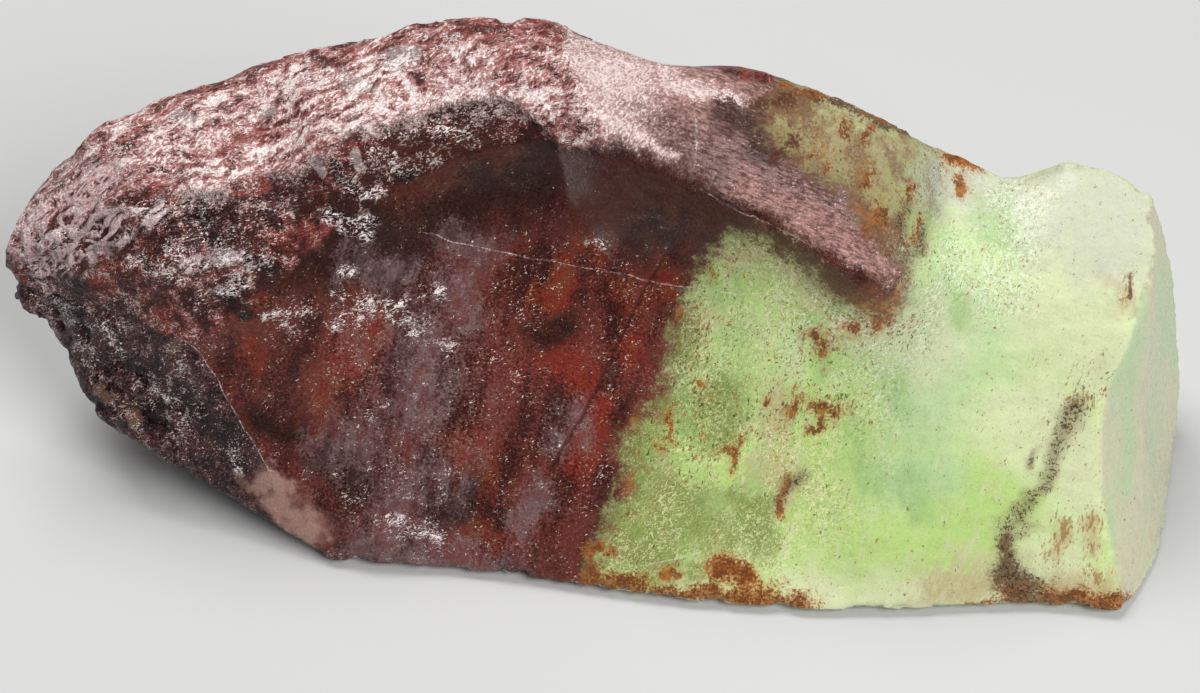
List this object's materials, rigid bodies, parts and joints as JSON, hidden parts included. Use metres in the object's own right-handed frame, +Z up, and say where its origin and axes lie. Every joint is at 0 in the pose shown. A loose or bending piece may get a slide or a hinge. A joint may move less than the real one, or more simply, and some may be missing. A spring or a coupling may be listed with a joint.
{
  "type": "raw calcite lump",
  "caption": "Raw lump of red and green calcite: a rough, unpolished, waxy stone with an undercut brow and a broken right end, resting on its flat underside.",
  "frame": {"origin": "centre of the bounding box, on the surface that the stone rests on", "axes": "+X along the stone, from its blunt red end to its broken green end; -Y is the broad front face; +Z is up"},
  "size_m": [0.129, 0.0594, 0.0463],
  "materials": {
    "calcite": "waxy, acid-etched red and pale green calcite, partly glassy"
  },
  "bodies": {
    "root": {"calcite": "calcite"}
  },
  "joints": []
}
